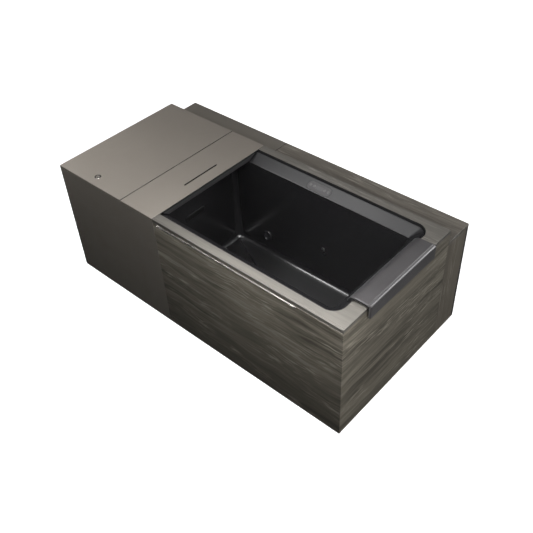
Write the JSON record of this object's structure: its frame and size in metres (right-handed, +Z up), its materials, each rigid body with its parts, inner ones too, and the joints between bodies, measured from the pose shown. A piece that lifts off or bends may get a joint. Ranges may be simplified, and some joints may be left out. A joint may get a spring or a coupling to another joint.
{
  "type": "cold plunge tub",
  "caption": "Rectangular moulded basin in a timber-clad cabinet with a lacquered chiller cabinet at one end, hinged covers, a rear ledge and a hook-over headrest.",
  "frame": {"origin": "centre of the whole tub's footprint, on the floor", "axes": "+X along the tub from the chiller cabinet to the headrest end, +Y from the timber front to the rear ledge, +Z up"},
  "size_m": [2.026, 1.0597, 0.785],
  "materials": {
    "frame_steel": "matte black powder coat",
    "stainless": "satin",
    "lacquer": "satin taupe lacquer on board",
    "timber": "matte smoked timber veneer",
    "deck_timber": "satin grey-brown timber veneer",
    "ledge_timber": "satin dark timber veneer",
    "back_board": "matte black board",
    "rail_metal": "polished",
    "hinge_metal": "satin",
    "basin": "satin black composite",
    "foam": "closed-cell foam board",
    "fitting_black": "satin",
    "nozzle_dark": "gloss",
    "display_glass": "gloss",
    "probe_metal": "satin",
    "pipe_plastic": "satin",
    "equipment_black": "satin",
    "equipment_plastic": "satin",
    "coil_aluminium": "satin",
    "filter_paper": "matte",
    "soft_headrest": "matte soft-touch cover over foam"
  },
  "bodies": {
    "cabinet": {"base_side_rails": "frame_steel", "base_cross_rails": "frame_steel", "frame_posts": "frame_steel", "long_top_rails": "frame_steel", "cross_top_rails": "frame_steel", "base_tray": "stainless", "levelling_feet": "stainless", "rear_panel_screws": "stainless", "drain_valve": "stainless", "cabinet_front_panel": "lacquer", "cabinet_end_panel": "lacquer", "riser_left": "lacquer", "ledge_top_left": "lacquer", "front_panel": "timber", "end_panel": "timber", "deck_board": "deck_timber", "ledge_top_right": "ledge_timber", "riser_right": "ledge_timber", "ledge_end_panels": "ledge_timber", "rear_panels": "back_board", "pull_rail": "rail_metal", "hinge_fixed_leaves": "hinge_metal", "tub_shell": "basin", "tub_insulation": "foam", "return_jet_ring": "fitting_black", "suction_grille": "fitting_black", "ozone_inlet": "fitting_black", "control_panel_housing": "fitting_black", "vent_grille": "fitting_black", "fan_shroud": "fitting_black", "power_inlet": "fitting_black", "control_display": "display_glass", "temperature_sensor": "probe_metal", "drain_body": "probe_metal", "water_pipes": "pipe_plastic", "heat_exchanger": "pipe_plastic", "filter_housing": "pipe_plastic", "compressor": "equipment_black", "circulation_pump": "equipment_plastic", "control_box": "equipment_plastic", "ozone_generator": "equipment_plastic", "condenser_coil": "coil_aluminium", "filter_cartridge": "filter_paper"},
    "main_cover": {"main_cover": "lacquer", "main_cover_hinge_leaves": "hinge_metal", "latch_bezel": "rail_metal"},
    "cover_latch": {"cover_latch": "rail_metal"},
    "service_cover": {"service_cover": "lacquer", "service_cover_hinge_leaves": "hinge_metal"},
    "headrest": {"headrest_pad": "soft_headrest", "headrest_bracket": "stainless"},
    "return_jet_nozzle": {"return_jet_nozzle": "nozzle_dark"},
    "drain_plug": {"drain_plug": "probe_metal"},
    "drain_valve_lever": {"drain_valve_lever": "fitting_black"},
    "power_button": {"power_button": "nozzle_dark"},
    "temperature_down_button": {"temperature_down_button": "nozzle_dark"},
    "temperature_up_button": {"temperature_up_button": "nozzle_dark"},
    "filter_button": {"filter_button": "nozzle_dark"},
    "fan_rotor": {"fan_rotor": "fitting_black"},
    "filter_lid": {"filter_lid": "fitting_black"}
  },
  "joints": [
    {"name": "main_cover_hinge", "type": "hinge", "parent": "cabinet", "child": "main_cover", "pos_m": [-0.748, 0.33825, 0.741], "axis": [-1, 0, 0], "range_deg": [0, 95]},
    {"name": "cover_latch_turn", "type": "hinge", "parent": "main_cover", "child": "cover_latch", "pos_m": [-0.749, -0.46375, 0.747], "axis": [0, 0, -1], "range_deg": [0, 90]},
    {"name": "service_cover_hinge", "type": "hinge", "parent": "cabinet", "child": "service_cover", "pos_m": [-0.486, -0.09675, 0.7474], "axis": [0, -1, 0], "range_deg": [0, 90]},
    {"name": "headrest_lift", "type": "slide", "parent": "cabinet", "child": "headrest", "axis": [0, 0, 1], "range_m": [0, 0.15]},
    {"name": "return_jet_turn", "type": "hinge", "parent": "cabinet", "child": "return_jet_nozzle", "pos_m": [-0.113, 0.19586, 0.229], "axis": [0, -0.9998, 0.0217], "range_deg": [-45, 45]},
    {"name": "drain_plug_lift", "type": "slide", "parent": "cabinet", "child": "drain_plug", "axis": [0, 0, 1], "range_m": [0, 0.012]},
    {"name": "drain_valve_turn", "type": "hinge", "parent": "cabinet", "child": "drain_valve_lever", "pos_m": [0.167, 0.47725, 0.088], "axis": [0, 0, -1], "range_deg": [0, 90]},
    {"name": "power_button_press", "type": "slide", "parent": "cabinet", "child": "power_button", "axis": [0, 0.4472, -0.8944], "range_m": [0, 0.0015], "stiffness_N_per_m": 400},
    {"name": "temperature_down_button_press", "type": "slide", "parent": "cabinet", "child": "temperature_down_button", "axis": [0, 0.4472, -0.8944], "range_m": [0, 0.0015], "stiffness_N_per_m": 400},
    {"name": "temperature_up_button_press", "type": "slide", "parent": "cabinet", "child": "temperature_up_button", "axis": [0, 0.4472, -0.8944], "range_m": [0, 0.0015], "stiffness_N_per_m": 400},
    {"name": "filter_button_press", "type": "slide", "parent": "cabinet", "child": "filter_button", "axis": [0, 0.4472, -0.8944], "range_m": [0, 0.0015], "stiffness_N_per_m": 400},
    {"name": "fan_spin", "type": "hinge", "parent": "cabinet", "child": "fan_rotor", "pos_m": [-0.743, 0.45725, 0.285], "axis": [0, 1, 0], "continuous": true},
    {"name": "filter_lid_turn", "type": "hinge", "parent": "cabinet", "child": "filter_lid", "pos_m": [-0.573, -0.00775, 0.417], "axis": [0, 0, 1], "range_deg": [0, 90]}
  ]
}
